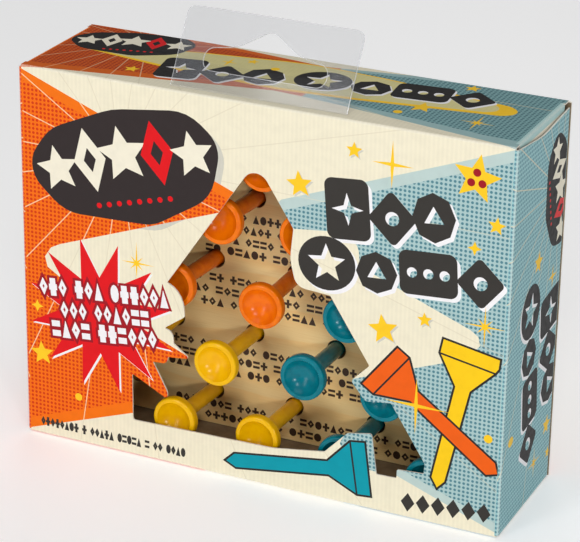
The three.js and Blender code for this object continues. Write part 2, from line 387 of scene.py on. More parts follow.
def folded(name, sheet, layers, run, axis, swap=False, ray_centre=None, thickness=CARD,
           inner=None, edge=None, shift=0.0):
    """A closed piece of card: the flat sheet, printed with its layers and bent along a run.

    A flat point u, v lies at u across the run and v along it, or the other way round if swap.
    The inside and the cut edge are plain card unless inner and edge say otherwise for an ink.
    """
    low = np.min(sheet["outline"], axis=0) - 1
    high = np.max(sheet["outline"], axis=0) + 1
    if swap:
        guides = [((place, low[1]), (place, high[1])) for place in run.guides()]
    else:
        guides = [((low[0], place), (high[0], place)) for place in run.guides()]
    flat, triangles = cut_flat(sheet, layers, guides)

    used = sorted({corner for corners, _ in triangles for corner in corners})
    number_of = {corner: number for number, corner in enumerate(used)}
    outer, inside, normals, fold_wear_and_highlight = [], [], [], []
    for corner in used:
        u, v = flat[corner]
        across, place = (v, u) if swap else (u, v)
        point, normal, bend = run.at(place)
        position = along(axis, across + shift, *point)
        normal = along(axis, 0, *normal)
        outer.append(position * MM)
        inside.append((position - normal * thickness) * MM)
        normals.append(normal)
        fold_wear_and_highlight.append(bend)

    count = len(outer)
    fronts, faces, inks, corner_normals = [], [], [], []
    first = [number_of[corner] for corner in triangles[0][0]]
    a, b, c = (outer[number] for number in first)
    flipped = (b - a).cross(c - a).dot(normals[first[0]]) < 0
    for corners, ink_name in triangles:
        own = [number_of[corner] for corner in corners]
        if flipped:
            own.reverse()
        back = [number + count for number in reversed(own)]
        fronts.append(own)
        faces += [own, back]
        inks += [ink_name, (inner or {}).get(ink_name, "card_inside")]
        corner_normals += [normals[number] for number in own]
        corner_normals += [-normals[number - count] for number in back]
    for (start, end), number in open_sides(fronts).items():
        faces.append([end, start, start + count, end + count])
        inks.append((edge or {}).get(triangles[number][1], "card_edge"))
        across = (outer[start] - outer[end]).cross(inside[start] - outer[start])
        corner_normals += [across.normalized()] * 4
    corner_flat = [used[number % count] for face in faces for number in face]

    piece = built(name, outer + inside, faces, inks, INKS)
    mesh = piece.data
    print_layer = mesh.uv_layers.new(name=PRINT_UV)
    for loop, corner in enumerate(corner_flat):
        print_layer.data[loop].uv = flat[corner]
    ray_layer = mesh.uv_layers.new(name=RAY_UV)
    if ray_centre:
        for polygon in mesh.polygons:
            loops = list(polygon.loop_indices)
            middle = sum((flat[corner_flat[loop]] for loop in loops), Vector((0, 0)))
            centre = Vector(ray_centre(middle / len(loops)))
            for loop in loops:
                ray_layer.data[loop].uv = flat[corner_flat[loop]] - centre
    # How far into a crease each point lies, which the inks use for wear and a painted highlight
    # along the folds.
    attribute = mesh.attributes.new(FOLD_WEAR_AND_HIGHLIGHT, "FLOAT", "POINT")
    attribute.data.foreach_set("value", fold_wear_and_highlight + [0.0] * count)
    mesh.update()
    mesh.normals_split_custom_set([tuple(normal) for normal in corner_normals])
    return piece


# ---------------- materials


def linear(red, green, blue):
    """A colour given as it shows on a screen, from 0 to 255, as linear light."""
    shares = (value / 255 for value in (red, green, blue))
    return tuple(
        share / 12.92 if share <= 0.04045 else ((share + 0.055) / 1.055) ** 2.4
        for share in shares
    ) + (1.0,)


def tinted(colour, shares):
    """The colour with each part times its own share, or with all of them times one share."""
    shares = shares if isinstance(shares, tuple) else (shares,) * 3
    return tuple(part * share for part, share in zip(colour, shares)) + (1.0,)


class Shader:
    """A material's nodes. Values may be numbers or the outputs of other nodes."""

    def __init__(self, name):
        self.material = bpy.data.materials.new(name)
        self.material.use_nodes = True
        self.tree = self.material.node_tree
        self.principled = self.tree.nodes["Principled BSDF"]

    def put(self, socket, value):
        if isinstance(value, bpy.types.NodeSocket):
            self.tree.links.new(value, socket)
        elif value is not None:
            socket.default_value = value

    def node(self, kind, inputs=None, **settings):
        made = self.tree.nodes.new(kind)
        for key, value in settings.items():
            setattr(made, key, value)
        for key, value in (inputs or {}).items():
            self.put(made.inputs[key], value)
        return made

    def math(self, operation, a, b=None):
        made = self.node("ShaderNodeMath", operation=operation)
        for socket, value in zip(made.inputs, (a, b)):
            self.put(socket, value)
        return made.outputs[0]

    def times(self, a, b):
        return self.math("MULTIPLY", a, b)

    def parts(self, vector):
        return self.node("ShaderNodeSeparateXYZ", {"Vector": vector}).outputs

    def mix(self, share, a, b):
        made = self.node("ShaderNodeMix", {"Factor": share, "A": a, "B": b}, data_type="RGBA")
        return made.outputs["Result"]

    def ramp(self, value, low, high, at_low=0.0, at_high=1.0):
        made = self.node("ShaderNodeMapRange", {
            "Value": value, "From Min": low, "From Max": high, "To Min": at_low, "To Max": at_high,
        }, interpolation_type="SMOOTHSTEP")
        return made.outputs["Result"]

    def noise(self, vector, scale, detail=3.0, roughness=0.55):
        made = self.node("ShaderNodeTexNoise", {
            "Vector": vector, "Scale": scale, "Detail": detail, "Roughness": roughness,
        })
        return made.outputs["Fac"]

    def stretch(self, vector, x, y, z):
        made = self.node("ShaderNodeMapping", {"Vector": vector, "Scale": (x, y, z)})
        return made.outputs["Vector"]

    def uv(self, name):
        return self.node("ShaderNodeUVMap", uv_map=name).outputs["UV"]

    def place(self):
        """The point on the piece, in millimetres."""
        metres = self.node("ShaderNodeTexCoord").outputs["Object"]
        return self.stretch(metres, 1 / MM, 1 / MM, 1 / MM)

    def bump(self, height, strength, distance):
        made = self.node("ShaderNodeBump", {
            "Strength": strength, "Distance": distance, "Height": height,
        })
        self.put(self.principled.inputs["Normal"], made.outputs["Normal"])

    def finish(self, **inputs):
        for key, value in inputs.items():
            self.put(self.principled.inputs[key.replace("_", " ")], value)
        return self.material


DOT_PITCH, DOT_RADIUS, DOT_BLUR = 1.3, 0.41, 0.08
RAY_SPACING, RAY_START, RAY_HALF = math.radians(16.36), math.radians(146.3), 0.15
PAPER = linear(244, 240, 228)


def halftone(shader, flat):
    """1 inside the dots of a square screen."""
    parts = shader.parts(flat)
    squares = []
    for part in (parts["X"], parts["Y"]):
        cell = shader.math("FRACT", shader.math("DIVIDE", part, DOT_PITCH))
        offset = shader.math("SUBTRACT", cell, 0.5)
        squares.append(shader.math("POWER", offset, 2.0))
    reach = shader.math("SQRT", shader.math("ADD", *squares))
    reach = shader.times(reach, DOT_PITCH)
    return shader.ramp(reach, DOT_RADIUS - DOT_BLUR, DOT_RADIUS + DOT_BLUR, 1.0, 0.0)


def ray_lines(shader):
    """1 on the thin lines that fan out from the panel's own centre."""
    parts = shader.parts(shader.uv(RAY_UV))
    angle = shader.math("ARCTAN2", parts["Y"], parts["X"])
    turns = shader.math("DIVIDE", shader.math("SUBTRACT", angle, RAY_START), RAY_SPACING)
    near = shader.math("SUBTRACT", shader.math("FRACT", shader.math("ADD", turns, 0.5)), 0.5)
    length = shader.node("ShaderNodeVectorMath", {0: shader.uv(RAY_UV)}, operation="LENGTH")
    length = length.outputs["Value"]
    aside = shader.times(shader.math("ABSOLUTE", near), RAY_SPACING)
    aside = shader.times(aside, length)
    line = shader.ramp(aside, RAY_HALF * 0.6, RAY_HALF * 1.4, 1.0, 0.0)
    return shader.times(line, shader.math("GREATER_THAN", length, 2.0))


def ink(name, colour, dots=None, ray=None, ray_share=0, lines=0, gloss=0.42):
    """Printed carton board: a coloured ink with paper mottle, screen dots, and paper colour along
    the creases, partly ink worn off and partly a painted highlight of the rounded fold.
    """
    shader = Shader(name)
    flat = shader.uv(PRINT_UV)
    tone = linear(*colour)
    mottle = shader.ramp(shader.noise(flat, 0.3), 0.35, 0.75)
    result = shader.mix(mottle, tone, tinted(tone, 0.95))
    if lines:
        comb = shader.math("PINGPONG", shader.parts(flat)["X"], 0.65)
        comb = shader.ramp(comb, 0.1, 0.5, 0.0, lines)
        result = shader.mix(comb, result, tinted(tone, 0.7))
    if dots:
        result = shader.mix(halftone(shader, flat), result, linear(*dots))
    if ray:
        share = shader.times(ray_lines(shader), ray_share)
        result = shader.mix(share, result, linear(*ray))
    grit = shader.noise(flat, 2.4, 4.0)
    # Along the creases the ink goes towards paper colour: partly real wear, partly a painted
    # highlight where the rounded fold catches light.
    fold_wear_and_highlight = shader.node("ShaderNodeAttribute", attribute_name=FOLD_WEAR_AND_HIGHLIGHT).outputs["Fac"]
    wear_and_highlight = shader.times(fold_wear_and_highlight, shader.ramp(grit, 0.35, 0.7, 0.15, 0.55))
    result = shader.mix(wear_and_highlight, result, PAPER)
    shader.bump(grit, 0.18, 0.02 * MM)
    return shader.finish(
        Base_Color=result,
        Roughness=shader.ramp(shader.noise(flat, 0.5), 0.3, 0.8, gloss - 0.06, gloss + 0.08),
        Specular_IOR_Level=0.12,
    )


def raw_card(name, colour, fleck):
    """Unprinted board: pulp fibres and flecks."""
    shader = Shader(name)
    place = shader.place()
    cloud = shader.ramp(shader.noise(place, 0.2, 4.0), 0.3, 0.7)
    result = shader.mix(cloud, linear(*colour), linear(*fleck))
    fibre = shader.noise(shader.stretch(place, 0.4, 1.0, 2.2), 1.6, 5.0, 0.7)
    result = shader.mix(shader.ramp(fibre, 0.58, 0.75, 0.0, 0.6), result, linear(*fleck))
    shader.bump(fibre, 0.3, 0.05 * MM)
    return shader.finish(Base_Color=result, Roughness=0.85)


CREAM_RAY, TAN_RAY = (247, 222, 178), (214, 203, 176)
# Name, colour, colour of the dots, colour and share of the rays, share of the lines, gloss.
PRINT_INKS = [
    ("cream", (238, 230, 204), None, TAN_RAY, 0.5, 0.12),
    ("orange", (240, 113, 8), None, CREAM_RAY, 0.75),
    ("orange_dots", (240, 110, 9), (208, 52, 6), CREAM_RAY, 0.75),
    ("blue", (186, 205, 201), None, CREAM_RAY, 0.25),
    ("blue_dots", (168, 196, 196), (78, 128, 140), CREAM_RAY, 0.25),
    ("end_blue", (176, 210, 208), None, CREAM_RAY, 0.6),
    ("end_blue_dots", (150, 196, 200), (84, 136, 150), CREAM_RAY, 0.6),
    ("deep_orange", (212, 96, 14), None, CREAM_RAY, 0.5),
    ("deep_orange_dots", (200, 84, 12), (156, 40, 2), CREAM_RAY, 0.5),
    ("deep_blue", (152, 184, 184), None, CREAM_RAY, 0.5),
    ("deep_blue_dots", (128, 168, 170), (62, 104, 114), CREAM_RAY, 0.5),
    ("flap_end_blue", (176, 210, 208)),
    ("flap_orange", (240, 113, 8)),
    ("paper", (238, 231, 210)),
    ("red", (222, 18, 26)),
    ("maroon", (156, 22, 33)),
    ("charcoal", (56, 53, 50)),
    ("coal", (50, 42, 42)),
    # a darker, rougher copy of the black: painted shade for the top and the ends
    ("deep_black", (36, 34, 34), None, None, 0, 0, 0.5),
    ("white", (240, 238, 240)),
    ("yellow", (249, 200, 36)),
    ("shade", (207, 204, 190), None, None, 0, 0.12),
    ("line", (44, 42, 40)),
    ("art_orange", (236, 95, 18)),
    ("art_yellow", (248, 201, 22)),
    ("art_teal", (2, 150, 167)),
    ("lens", (216, 207, 148), None, None, 0, 0.08),
]
INKS = {name: ink(name, *details) for name, *details in PRINT_INKS}
INKS["card_inside"] = raw_card("card_inside", (146, 125, 97), (124, 104, 78))
INKS["card_edge"] = raw_card("card_edge", (246, 243, 234), (214, 206, 190))

# ---------------- generic art


def badge(x, y, scale, turn):
    """A dark tilted oval with a row of stars and lozenges on it, and its shadow apart."""
    oval = rounded([
        (-34, 3, 9), (-24, -12, 13), (4, -18.5, 12), (25, -12, 13), (32, 3, 9),
        (24, 14, 13), (0, 17, 24), (-22, 13.5, 15),
    ])
    shapes = []
    for step in range(5):
        arch = math.sin(math.pi * step / 4)
        across, rise, size = -22.5 + 11.2 * step, 1.2 + 2.2 * arch, 6.5 + 1.3 * arch
        if step % 2:
            rim, core = (
                star(across, rise, reach, reach, 2, 90, (0.72, 1.3))
                for reach in (size, size * 0.38)
            )
            shapes.append(layer("red" if step == 3 else "paper", rim, [core]))
        else:
            shapes.append(layer("paper", star(across, rise, size * 1.1, size * 0.52, 5)))
    for step in range(8):
        shapes.append(layer("red", disc(-12 + 3.4 * step, -11.0, 0.85, sides=12)))

    def settle(outline):
        return moved(turned(outline, 0, 0, turn, scale), x, y)

    placed = [layer("coal", settle(oval))]
    for item in shapes:
        holes = [settle(hole) for hole in item["holes"]]
        placed.append(layer(item["ink"], settle(item["outline"]), holes))
    shadow = layer("shade", moved(settle(oval), 1.8, -1.5))
    return shadow, placed


def token(kind, x, y, width, height):
    """A bold shape with a star, a triangle or dots cut out of it: outline, holes."""
    tall = height / width
    if kind == "tile":
        return tile(x, y, width, height, 2.4), [star(x, y, width * 0.36, width * 0.12, 4)]
    if kind == "disc":
        return disc(x, y, width / 2, tall, 36), [star(x, y, width * 0.34, width * 0.15, 5)]
    if kind == "lozenge":
        outline = rounded([(x - width / 2, y, 1.4), (x, y - height / 2, 1.4),
                           (x + width / 2, y, 1.4), (x, y + height / 2, 1.4)])
        return outline, [disc(x, y, width * 0.14)]
    if kind == "gem":
        hole = star(x, y, width * 0.26, width * 0.26, 3, 90)
        return disc(x, y, width / 2, tall, 8), [hole[::2]]
    dots = [disc(x + width * share, y, 1.5) for share in (-0.28, 0, 0.28)]
    return tile(x, y, width, height, 2.4), dots


def tokens(items, x, y, turn, scale=1.0, drop=(1.0, -0.9)):
    """Dark shapes over their white shadows, turned about x, y."""
    made = []
    for ink_name, offset in (("white", drop), ("charcoal", (0, 0))):
        for kind, across, up, width, height in items:
            outline, holes = token(kind, x + across, y + up, width, height)
            parts = [
                moved(turned(part, x, y, turn, scale), *offset) for part in (outline, *holes)
            ]
            made.append(layer(ink_name, parts[0], parts[1:]))
    return made


UPPER_TOKENS = [
    ("tile", -11.9, 0.4, 13.2, 18.0), ("lozenge", 1.3, -1.2, 14.6, 16.6),
    ("gem", 13.6, 0.2, 12.8, 14.6),
]
LOWER_TOKENS = [
    ("disc", -20.6, 0.2, 17.4, 16.2), ("gem", -5.6, -0.8, 12.4, 12.4),
    ("bar", 9.8, 0.6, 17.2, 13.0), ("lozenge", 25.0, -0.4, 14.4, 15.4),
]


MARKS = ("lozenge", "bars", "triangle", "plus", "disc", "bars", "lozenge")


def mark(kind, x, y, width, height, thick):
    """A plain sign that is no letter, as pairs of outline and holes."""
    half, rise = width / 2, height / 2
    if kind == "bars":
        return [(box(x - half, y + side * rise * 0.55 - thick / 2,
                     x + half, y + side * rise * 0.55 + thick / 2), []) for side in (-1, 1)]
    if kind == "triangle":
        return [(plain((x - half, y - rise), (x + half, y - rise), (x, y + rise)), [])]
    if kind == "plus":
        arm = thick / 2
        corners = ((arm, -rise), (arm, -arm), (half, -arm), (half, arm), (arm, arm), (arm, rise))
        right = plain(*corners)
        left = [Vector((-p.x, p.y)) for p in reversed(right)]
        return [(moved(right + left, x, y), [])]
    if kind == "disc":
        return [(disc(x, y, half, rise / half, 12), [])]
    outline = lozenge(x, y, half, rise)
    return [(outline, [grown(outline, -thick * 0.8)])]


def marks(x, y, length, height, turn, words, seed, fill, thick):
    """A line of small plain signs in groups, in place of lettering."""
    chance = random.Random(seed)
    gap = 0.7
    cell = length / (sum(words) + gap * (len(words) - 1))
    across = x
    for word in words:
        for _ in range(word):
            kind = chance.choice(MARKS)
            for outline, holes in mark(kind, across + cell / 2, y, cell * fill, height, thick):
                yield turned(outline, x, y, turn), [turned(hole, x, y, turn) for hole in holes]
            across += cell
        across += gap * cell


def text_line(x, y, length, height, words, seed, thick, fill=0.74):
    """A level line of signs in dark ink."""
    signs = marks(x, y, length, height, 0, words, seed, fill, thick)
    return [layer("charcoal", outline, holes) for outline, holes in signs]


def five_star(x, y, size, turn=90, shade=False):
    outline = star(x, y, size, size * 0.45, 5, turn)
    made = [layer("shade", moved(outline, 0.5, -0.45))] if shade else []
    return made + [layer("yellow", outline)]


def drawn_peg(ink_name, band, *points):
    """A peg drawn flat with a dark outline, and its head's band between two of its corners."""
    outline = plain(*points)
    return [
        layer("line", grown(outline, 0.32)),
        layer(ink_name, grown(outline, -0.32)),
        layer("line", stroke(*outline[band[0]], *outline[band[1]], 0.55)),
    ]


def yellow(*outlines):
    return [layer("yellow", outline) for outline in outlines]


# ---------------- the front's art


def front_art():
    shadow, emblem = badge(34.6, 91.8, 1.0, 15)
    rim = [(63.9, 82.7), (12.5, 63.5), (9.5, 61.9), (7.4, 58.7), (8.2, 55.5), (12.5, 52.8),
           (56, 35.4)]
    patch = [(87.3, 82.4), (141, 62.2), (143.3, 60.6), (143.9, 58), (141.5, 55),
             (132.5, 50.3), (106.2, 40), (100, 34), (104, 30)]
    return [
        shadow,
        field("orange", (0, 116.2), (69.5, 89.5), (70, 85), *rim, (56, 13.9), (35.9, 13.7),
              (0, 0.8)),
        field("orange_dots", (0, 112.9), (69.5, 86.3), (66, 83.5), *rim, (56, 17.5),
              (35.9, 17.5), (0, 4.2)),
        field("blue", (152.5, 116.9), (83.4, 90.2), (78, 84), *patch, (118, 13), (121, 12.6),
              (152.5, 1.2)),
        field("blue_dots", (152.5, 113.5), (83, 86.7), (78, 84), *patch, (118, 16.2),
              (124, 14.2), (152.5, 4.1)),
        field("blue_dots", (103, 19), (104.6, 22.6), (113, 24.6), (114.8, 12.5), (106, 12.5)),
        *emblem, *title_art(), *promise_art(), *stars_art(),
        *drawn_peg("art_yellow", (9, 3), (133, 58.3), (150.2, 55.2), (149.9, 52.1),
                   (148.9, 50.6), (141.8, 43.5), (135.5, 14), (133, 11.3), (131, 14.7),
                   (136.9, 44.3), (132.1, 53.6)),
        *drawn_peg("art_orange", (9, 2), (109, 39.2), (119.6, 52.8), (123.4, 50.2),
                   (126.3, 40.6), (150.2, 23.6), (151.2, 20), (147.4, 18.9), (126.7, 34.3),
                   (124, 36.7), (112.8, 36.6)),
        *drawn_peg("art_teal", (3, 6), (66.4, 5.1), (69.5, 8.2), (99.1, 12.6), (106.1, 20.4),
                   (110.8, 21.1), (113.2, 4.0), (108.7, 3.6), (99.7, 7.8), (70.1, 3.3)),
        *yellow(sparkle(125.8, 35.9, 10, 8.6, 10, 8.9)),
    ]


def title_art():
    collar = rounded([(86.9, 82.2, 2), (107, 84.5, 6), (108, 66, 6), (99, 63.2, 4), (88, 66, 9),
                      (85.2, 74, 6)])
    return [
        layer("cream", collar),
        *tokens(UPPER_TOKENS, 115.4, 91.6, 5),
        *tokens(LOWER_TOKENS, 118.2, 75.0, 4),
    ]


def promise_art():
    burst = star(25.5, 43.2, 24.2, 12.2, 12, 15)
    art = [layer("white", moved(burst, 0.55, -0.45)), layer("red", burst)]
    lines = [(5, 48.9, 43.4, 5.6, (3, 3, 6)), (12, 42.6, 30, 5.4, (3, 6)),
             (9, 36.0, 35.6, 5.6, (4, 6))]
    placed = [
        shape for number, (x, y, length, height, words) in enumerate(lines)
        for shape in marks(x, y, length, height, 5.2, words, number * 2, 0.84, 1.9)
    ]
    art += [layer("maroon", grown(outline, 0.8)) for outline, _ in placed]
    art += [layer("white", outline, holes) for outline, holes in placed]
    for step in range(6):
        sign = lozenge(124.4 + 4.6 * step, 5.0 + 0.4 * step, 2.1, 3.0)
        art.append(layer("charcoal", sign))
    return art + text_line(4.6, 4.4, 49, 3.0, (8, 1, 5, 5, 1, 2, 4), 0, 0.8, 0.96)


def stars_art():
    art = []
    for x, y, size, turn in ((88.9, 95.8, 4.1, 98), (105, 108.5, 2.5, 90),
                             (115.2, 57.2, 4.7, 100), (127.4, 62.5, 2.3, 95)):
        art += five_star(x, y, size, turn, shade=True)
    for x, y, size, turn in ((140.7, 106.5, 7.2, 82), (147, 93.9, 2.7, 85), (5.6, 27, 4, 95)):
        art += five_star(x, y, size, turn)
    for x, y in ((140.7, 108.2), (139.1, 105.2), (142.3, 105.2)):
        art.append(layer("maroon", disc(x, y, 1.15)))
    small = [star(x, y, size, size * 0.42, 4) for x, y, size in ((141, 86.4, 2.1), (4.4, 42.3, 2))]
    return art + yellow(
        *small, sparkle(116.3, 106.3, 6.3, 7, 6, 7),
        sparkle(145, 64, 6.2, 6.2, 6.2, 6.2, 0.8, 3.2), sparkle(37.8, 62.3, 6, 6.7, 5, 5, 0.8, 3.0),
        disc(147.6, 30.4, 1.3), disc(17.8, 15, 1.2),
    )


# ---------------- art of the other panels


def in_shaded_black(art):
    """The same art with its dark inks swapped for a darker, rougher black: painted shade for the top
    and the ends, which get less light than the front.
    """
    for item in art:
        if item["ink"] in ("charcoal", "coal"):
            item["ink"] = "deep_black"
    return art


def top_art():
    """Art of the top, given by distance from the left and from the front edge."""
    edge = rounded([
        (5, 22.2, 1), (40, 16.2, 60), (75, 13.6, 60), (97, 15.4, 60), (139, 21.6, 5),
        (144, 25.5, 3.5), (139, 30, 5), (100, 36.2, 60), (75, 38.6, 60), (40, 33, 60),
    ])
    inner = rounded([
        (7, 22.8, 1), (40, 17.6, 60), (75, 15.2, 60), (97, 16.9, 60), (134, 22.6, 4),
        (138.5, 26, 3), (134, 29.6, 4), (100, 35.6, 60), (75, 38.0, 60), (40, 32.4, 60),
    ])
    art = [
        field("deep_orange", (-1, -1), (7, 0.2), (75, 12.5), (84, 11.6), (84, 38.6), (79, 38),
              (35, 43.4), (-1, 44)),
        field("deep_orange_dots", (-1, 3), (20, 6.5), (75, 16), (84, 16), (84, 36), (79, 36),
              (28, 41.5), (-1, 42)),
        field("deep_blue", (153, -1), (149, 0.2), (97, 9.6), (84, 11.6), (84, 38.6),
              (112, 43.4), (153, 44)),
        field("deep_blue_dots", (153, 4.5), (140, 5.5), (97, 12.5), (84, 15), (84, 37),
              (108, 40.4), (120, 42.3), (153, 42.5)),
        *yellow(edge), layer("lens", inner),
        *badge(20.5, 31.5, 0.6, 14)[1],
        *tokens(UPPER_TOKENS, 54.5, 19.5, 10, 0.96, (0.8, -0.8)),
        *tokens(LOWER_TOKENS, 103.5, 28.2, 6, 0.96, (0.8, -0.8)),
    ]
    for x, y, size in ((31, 11, 2.5), (124, 39.5, 2.5), (117, 18.5, 4), (59, 32.5, 2)):
        art += five_star(x, y, size, 96)
    art += yellow(
        disc(112.5, 12, 1.3), disc(67.5, 29.5, 1.3),
        sparkle(135, 13.5, 5.5, 6, 5, 6, 0.8, 2.4), sparkle(53, 29, 2.5, 4, 2.5, 4, 0.6),
    )
    return in_shaded_black(art)


def end_art(dots):
    """Art of an end panel, given by distance from its front crease and height."""
    art = [
        layer(dots, box(-3, -3, 46, 120)),
        *badge(35.5, 92.5, 0.58, -76)[1],
        *tokens(UPPER_TOKENS, 36.0, 45.5, -84, 0.94, (-0.8, -0.8)),
        *tokens(LOWER_TOKENS, 19.5, 43.5, -84, 0.94, (-0.8, -0.8)),
    ]
    for x, y, size in ((22, 76, 3.5), (37.5, 19, 3.3), (40, 9, 2)):
        art += five_star(x, y, size, 80)
    art += yellow(sparkle(35, 67, 3.5, 3.8, 3.5, 3.8, 0.7),
                  sparkle(28, 11, 5.4, 5, 5.4, 5, 0.8, 2.2), disc(6.5, 27.5, 2, 0.75))
    return in_shaded_black(art)


def back_art():
    """Art of the back, given from its left as seen from behind, and by height."""
    triangle = rounded([(14, 26, 5), (70, 26, 5), (42, 76, 5)])
    art = [
        field("orange", (0, 117), (0, 60), (58, 117)),
        field("orange_dots", (0, 117), (0, 64), (54, 117)),
        field("blue", (152, 0), (152, 60), (96, 0)),
        field("blue_dots", (152, 0), (152, 56), (100, 0)),
        field("orange", (0, 0), (40, 0), (0, 22)),
        field("blue", (152, 117), (106, 117), (152, 92)),
        layer("line", triangle), *yellow(grown(triangle, -0.8)),
    ]
    for row in range(5):
        for place in range(row + 1):
            x, y = 42 + (place - row / 2) * 9.6, 65 - row * 8.2
            ink_name = ("art_orange", "white", "art_teal")[(row + place) % 3]
            art.append(layer("line", disc(x, y, 2.3)))
            if row:
                art.append(layer(ink_name, disc(x, y, 1.8)))
    art += tokens(UPPER_TOKENS, 96, 101, 3, 0.8)
    for row, words in enumerate(((4, 6, 3, 5), (6, 2, 5, 4), (3, 5, 5, 3), (5, 4, 7), (4, 3, 2, 5))):
        art += text_line(80, 80 - 6.5 * row, 60 - 4 * (row % 2), 2.6, words, row, 0.5)
    for row, words in enumerate(((6, 4, 5), (3, 6, 4))):
        art += text_line(80, 42 - 6.5 * row, 46, 2.6, words, row + 2, 0.5)
    for x, y, size in ((12, 98, 4), (26, 108, 2.4), (140, 14, 4.5), (128, 24, 2.4), (66, 88, 3)):
        art += five_star(x, y, size)
    return art


def bottom_art():
    """Art of the bottom, given by distance from the left and from the front edge."""
    art = [
        field("orange", (0, 0), (60, 0), (36, 43), (0, 43)),
        field("orange_dots", (0, 0), (55, 0), (31, 43), (0, 43)),
        field("blue", (152, 0), (104, 0), (120, 43), (152, 43)),
        field("blue_dots", (152, 0), (109, 0), (125, 43), (152, 43)),
    ]
    for row, words in enumerate(((5, 7, 4), (6, 3, 5), (4, 8))):
        art += text_line(64, 29 - 6 * row, 34, 2.0, words, row, 0.4)
    return art


# ---------------- carton pieces


def placed_art(art, to_sheet):
    """The art with every point carried to the sheet's own place."""
    return [
        layer(item["ink"], [Vector(to_sheet(p)) for p in item["outline"]],
              [[Vector(to_sheet(p)) for p in hole] for hole in item["holes"]])
        for item in art
    ]


def sleeve():
    """The tube of front, top, back, bottom and glue flap, folded from one blank."""
    flap = box_of("glue_flap")[1]
    run = Run([(flap.y, flap.z), (flap.y, 0), (FRONT, 0), (FRONT, HEIGHT), (BACK, HEIGHT),
               (BACK, 0.1)], 0, 1)
    front_start = run.stops[2]
    run.stops = [stop - front_start for stop in run.stops]
    glue_end, glue_crease, _, top, back, foot = run.stops
    lid, notch = HALF - LID_END, HALF - LID_END + NOTCH_DEPTH
    near, far = TOP_NOTCH
    right = [
        (HALF + flap.x - 5, glue_end), (HALF + flap.x, glue_crease - 1), (WIDTH - lid, glue_crease),
        (WIDTH - lid, -far), (WIDTH - notch, -far), (WIDTH - notch, -near), (WIDTH - lid, -near),
        (WIDTH - lid, CREASE), (WIDTH - STUB, CREASE), (WIDTH - STUB, top - CREASE),
        (WIDTH - lid, top - CREASE), (WIDTH - lid, top + near), (WIDTH - notch, top + near),
        (WIDTH - notch, top + far), (WIDTH - lid, top + far), (WIDTH - lid, back - 0.4),
        (WIDTH, back + 0.4), (WIDTH, foot),
    ]
    left = [(WIDTH - x, place) for x, place in reversed(right)]
    window = rounded([(x + HALF, z, radius) for x, z, radius in WINDOW])
    sheet = layer("cream", plain(*right, *left), [window])
    art = [layer("card_inside", box(0, glue_end - 1, WIDTH, glue_crease))]
    art += placed_art(bottom_art(), lambda p: (p.x, -p.y))
    art += placed_art(front_art(), lambda p: p)
    art += placed_art(top_art(), lambda p: (p.x, top + p.y))
    art += placed_art(back_art(), lambda p: (WIDTH - p.x, back + HEIGHT - p.y))

    def ray_centre(middle):
        if middle.y < 0:
            return middle.x, -90
        if middle.y < top:
            return 33, 93
        return (24, top + 34) if middle.y < back else (110, back + 40)

    piece = folded("carton_sleeve", sheet, art, run, X, ray_centre=ray_centre, shift=-HALF)
    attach(piece, "carton")
    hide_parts("front_panel", "back_panel", "top_panel", "bottom_panel", "glue_flap")


def end_panel(side, name, main, dots):
    """An end panel with the crease that joins it to the front."""
    low, high = box_of(f"{name}_end_panel")
    face = side * HALF
    back_edge = high.y - CARD
    run = Run([(face - side * STUB, FRONT), (face, FRONT), (face, back_edge)], -STUB, -side)
    length = back_edge - FRONT
    outline = rounded([
        (-STUB, low.z, 0), (length, low.z, 0), (length, high.z - END_DROP, 0),
        (length / 2, high.z - END_DIP, END_DIP_RADIUS), (0, high.z - 0.1, 0),
        (-STUB, high.z - 0.1, 0),
    ])
    piece = folded(f"{name}_end_card", layer(main, outline), end_art(dots), run, Z, swap=True,
                   ray_centre=lambda middle: (35, 94))
    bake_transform(piece)
    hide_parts(f"{name}_end_panel")


def tuck_flap(side, name, main):
    """The flap that tucks in behind the back panel, with its crease."""
    low, high = box_of(f"{name}_end_panel")
    flap_low, flap_high = box_of(f"{name}_tuck_flap")
    start_y = high.y - CARD
    corner = Vector((side * HALF, TUCK_CREASE))
    tip = corner - Vector((side * math.cos(TUCK_LEAN), math.sin(TUCK_LEAN))) * TUCK_LENGTH
    run = Run([(side * HALF, start_y), corner, tip], 0, -side)
    near, length = run.stops[1], run.stops[2]
    outline = rounded([
        (0, low.z, 0), (near, low.z, 0), (near + 1, flap_low.z, 0.5),
        (length, flap_low.z + 1, 6), (length, flap_high.z - 1, 6),
        (near + 1, flap_high.z, 0.5), (near, high.z - END_DROP, 0), (0, high.z - END_DROP, 0),
    ])
    art = [layer(f"flap_{main}", box(-1, 0, near + 0.9, HEIGHT))]
    piece = folded(f"{name}_tuck_card", layer("paper", outline), art, run, Z, swap=True)
    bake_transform(piece)
    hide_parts(f"{name}_tuck_flap")


def dust_flap(side, level, name, main):
    """A dust flap with the crease that joins it to the top or the bottom."""
    low, high = box_of(f"{name}_dust_flap")
    edge = HEIGHT if level > 0 else 0
    tip = low.z if level > 0 else high.z
    stub_x = side * (LID_END - NOTCH_DEPTH)
    run = Run([(stub_x, edge), (side * LID_END, edge), (side * LID_END, tip)], 0, side * level)
    length = run.stops[2]
    near, far = TOP_NOTCH
    outline = rounded([
        (FRONT + near, 0, 0), (FRONT + far, 0, 0), (FRONT + far - 0.2, 2, 0),
        (BACK - 7, length, 4), (FRONT + 8, length, 4), (FRONT + near + 0.2, 2, 0),
    ])
    art = [layer(f"flap_{main}", box(FRONT, -1, BACK, 3.2))]
    piece = folded(f"{name}_dust_card", layer("paper", outline), art, run, Y)
    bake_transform(piece)
    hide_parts(f"{name}_dust_flap")


# ---------------- hang tab


